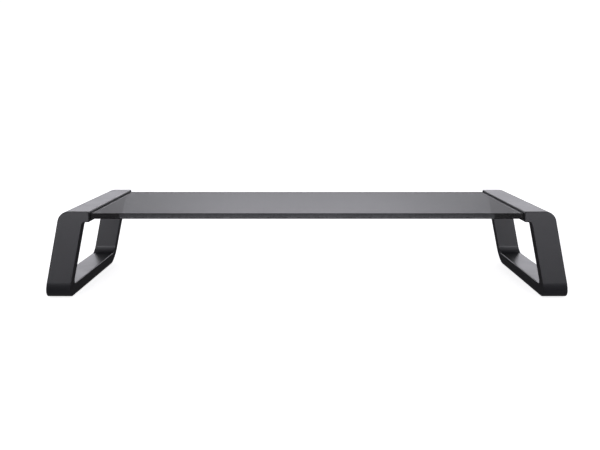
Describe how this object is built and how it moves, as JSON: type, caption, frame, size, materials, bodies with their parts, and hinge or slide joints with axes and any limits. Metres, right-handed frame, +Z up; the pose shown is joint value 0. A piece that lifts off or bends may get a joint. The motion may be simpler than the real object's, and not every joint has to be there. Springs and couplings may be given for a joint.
{
  "type": "monitor riser stand",
  "caption": "Low wide monitor riser: a smoked glass shelf gripped between closed-loop black metal legs that lean outwards to rubber pads.",
  "frame": {"origin": "on the desk surface, under the middle of the shelf", "axes": "+X along the shelf to the right seen from the front, +Z up, the front faces -Y"},
  "size_m": [0.56, 0.209, 0.0954],
  "materials": {
    "smoked_glass": "smoked tempered glass, polished, arrissed edges",
    "leg_coating": "satin black powder coat on cast aluminium",
    "gasket_rubber": "matt black rubber profile",
    "plate_coating": "satin black coated steel",
    "screw_steel": "black-oxide steel",
    "pad_rubber": "matt black rubber"
  },
  "bodies": {
    "root": {"glass_shelf": "smoked_glass", "left_leg_frame": "leg_coating", "right_leg_frame": "leg_coating", "left_glass_gasket": "gasket_rubber", "right_glass_gasket": "gasket_rubber", "left_clamp_plate": "plate_coating", "right_clamp_plate": "plate_coating", "left_clamp_screws": "screw_steel", "right_clamp_screws": "screw_steel", "left_front_foot_pad": "pad_rubber", "left_rear_foot_pad": "pad_rubber", "right_front_foot_pad": "pad_rubber", "right_rear_foot_pad": "pad_rubber"}
  },
  "joints": []
}
